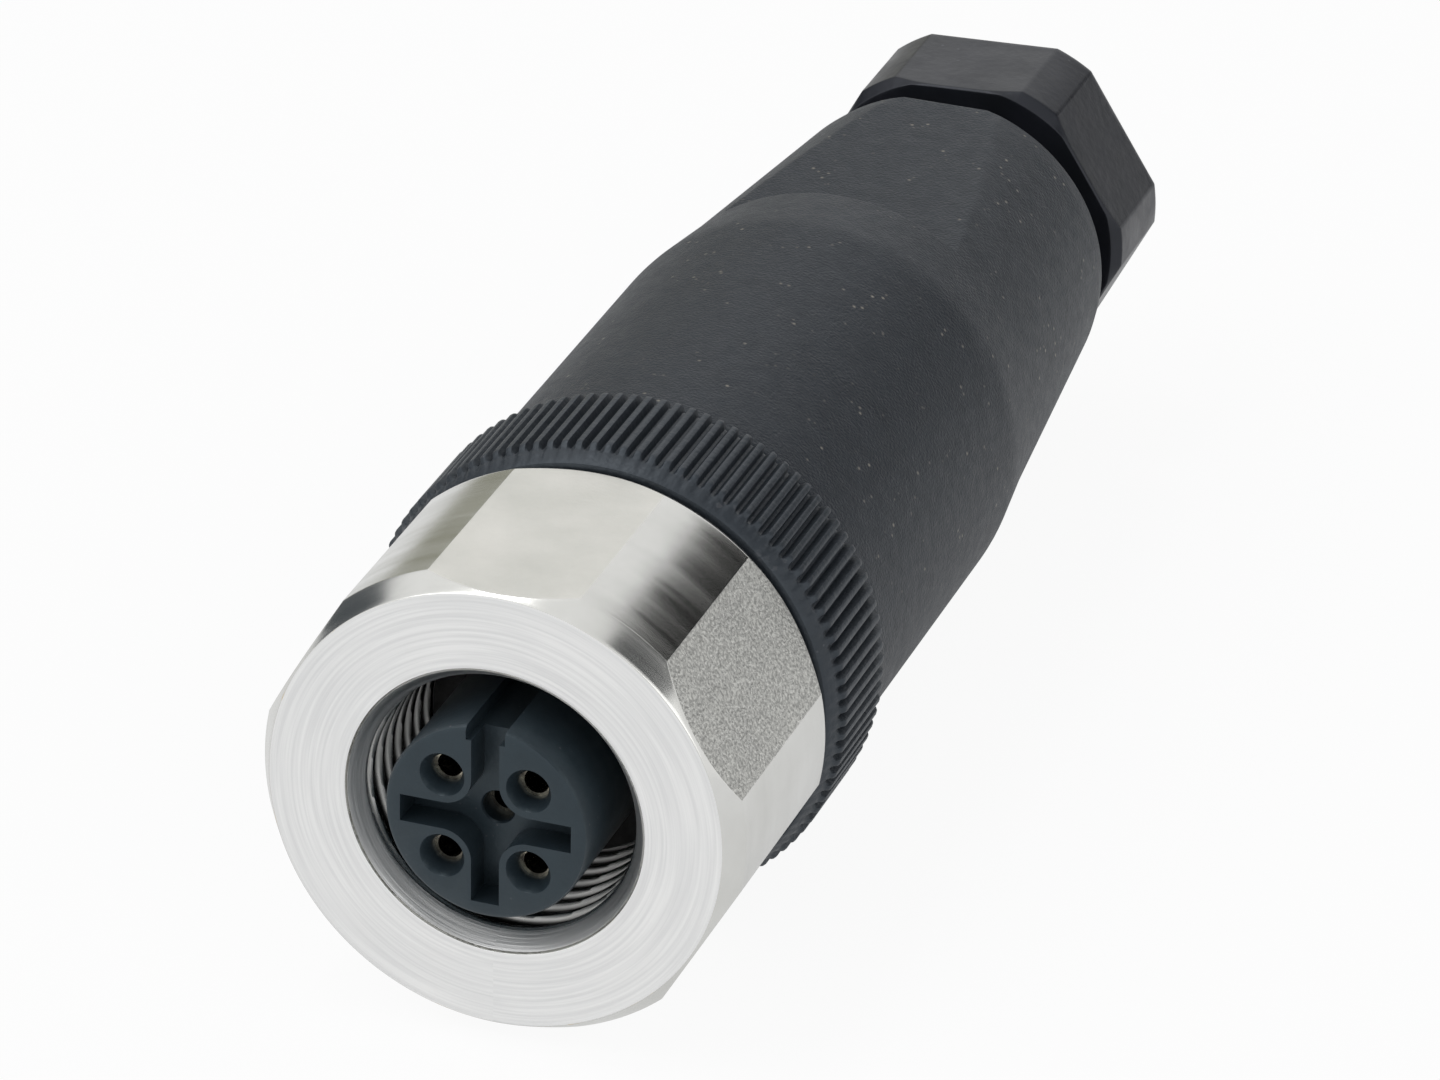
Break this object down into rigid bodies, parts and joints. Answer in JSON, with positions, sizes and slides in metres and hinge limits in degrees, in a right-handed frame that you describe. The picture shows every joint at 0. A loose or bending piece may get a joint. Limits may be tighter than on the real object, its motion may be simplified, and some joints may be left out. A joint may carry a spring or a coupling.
{
  "type": "m12 connector",
  "caption": "Straight circular M12 cable socket with a metal coupling nut, keyed insert, knurled ring, tapered black sleeve with wrench flats and a hexagonal cable gland screw.",
  "frame": {"origin": "on the connector's axis, in the plane of the coupling nut's front face", "axes": "+Y along the axis from the mating side to the cable side, +Z towards the insert's key slot, +X to the right as seen from the mating side"},
  "size_m": [0.02, 0.0629, 0.02],
  "materials": {
    "nickel_plated_brass": "satin nickel plate on turned brass",
    "bush_brass": "nickel plate on turned brass",
    "insert_plastic": "fine matt moulded, dark blue grey",
    "seal_rubber": "smooth black rubber",
    "ring_plastic": "satin black moulded",
    "sleeve_plastic": "finely grained charcoal moulded",
    "cage_plastic": "satin grey moulded",
    "washer_steel": "plain pressed steel",
    "screw_plastic": "satin black moulded",
    "contact_gold": "gold plate on turned brass",
    "terminal_steel": "zinc plated steel"
  },
  "bodies": {
    "carrier": {"contact_carrier": "insert_plastic", "carrier_bush": "bush_brass", "front_seal": "seal_rubber", "grip_ring": "ring_plastic", "terminal_block": "ring_plastic", "sleeve_seal": "seal_rubber", "contact_1": "contact_gold", "contact_2": "contact_gold", "contact_3": "contact_gold", "contact_4": "contact_gold", "contact_5": "contact_gold"},
    "coupling_nut": {"coupling_nut": "nickel_plated_brass"},
    "gland_core": {"gland_seal": "seal_rubber", "clamp_cage": "cage_plastic"},
    "sleeve": {"sleeve": "sleeve_plastic"},
    "thrust_washer": {"thrust_washer": "washer_steel"},
    "pressing_screw": {"pressing_screw": "screw_plastic"},
    "terminal_screw_1": {"terminal_screw_1": "terminal_steel"},
    "terminal_screw_2": {"terminal_screw_2": "terminal_steel"},
    "terminal_screw_3": {"terminal_screw_3": "terminal_steel"},
    "terminal_screw_4": {"terminal_screw_4": "terminal_steel"},
    "terminal_screw_5": {"terminal_screw_5": "terminal_steel"}
  },
  "joints": [
    {"name": "coupling_nut_spin", "type": "hinge", "parent": "carrier", "child": "coupling_nut", "pos_m": [0, 0.0055, 0], "axis": [0, 1, 0], "continuous": true},
    {"name": "gland_core_travel", "type": "slide", "parent": "carrier", "child": "gland_core", "axis": [0, 1, 0], "range_m": [0, 0.005]},
    {"name": "sleeve_turn", "type": "hinge", "parent": "gland_core", "child": "sleeve", "pos_m": [0, 0.0356, 0], "axis": [0, 1, 0], "range_deg": [0, 1800]},
    {"name": "thrust_washer_travel", "type": "slide", "parent": "sleeve", "child": "thrust_washer", "axis": [0, 1, 0], "range_m": [-0.00144, 0.003]},
    {"name": "pressing_screw_turn", "type": "hinge", "parent": "thrust_washer", "child": "pressing_screw", "pos_m": [0, 0.056, 0], "axis": [0, 1, 0], "range_deg": [-345, 720]},
    {"name": "terminal_screw_1_turn", "type": "hinge", "parent": "carrier", "child": "terminal_screw_1", "pos_m": [-0.00325, 0.0272, 0.00325], "axis": [-0.7071, 0, 0.7071], "range_deg": [0, 1080]},
    {"name": "terminal_screw_2_turn", "type": "hinge", "parent": "carrier", "child": "terminal_screw_2", "pos_m": [0.00325, 0.0272, 0.00325], "axis": [0.7071, 0, 0.7071], "range_deg": [0, 1080]},
    {"name": "terminal_screw_3_turn", "type": "hinge", "parent": "carrier", "child": "terminal_screw_3", "pos_m": [0.00325, 0.0272, -0.00325], "axis": [0.7071, 0, -0.7071], "range_deg": [0, 1080]},
    {"name": "terminal_screw_4_turn", "type": "hinge", "parent": "carrier", "child": "terminal_screw_4", "pos_m": [-0.00325, 0.0272, -0.00325], "axis": [-0.7071, 0, -0.7071], "range_deg": [0, 1080]},
    {"name": "terminal_screw_5_turn", "type": "hinge", "parent": "carrier", "child": "terminal_screw_5", "pos_m": [0, 0.0334, 0.0016], "axis": [0, 0, 1], "range_deg": [0, 1080]}
  ],
  "couplings": [
    {"joint": "sleeve_turn", "follows": "gland_core_travel", "rad_per_m": 6283.2},
    {"joint": "pressing_screw_turn", "follows": "thrust_washer_travel", "rad_per_m": 4188.8}
  ]
}
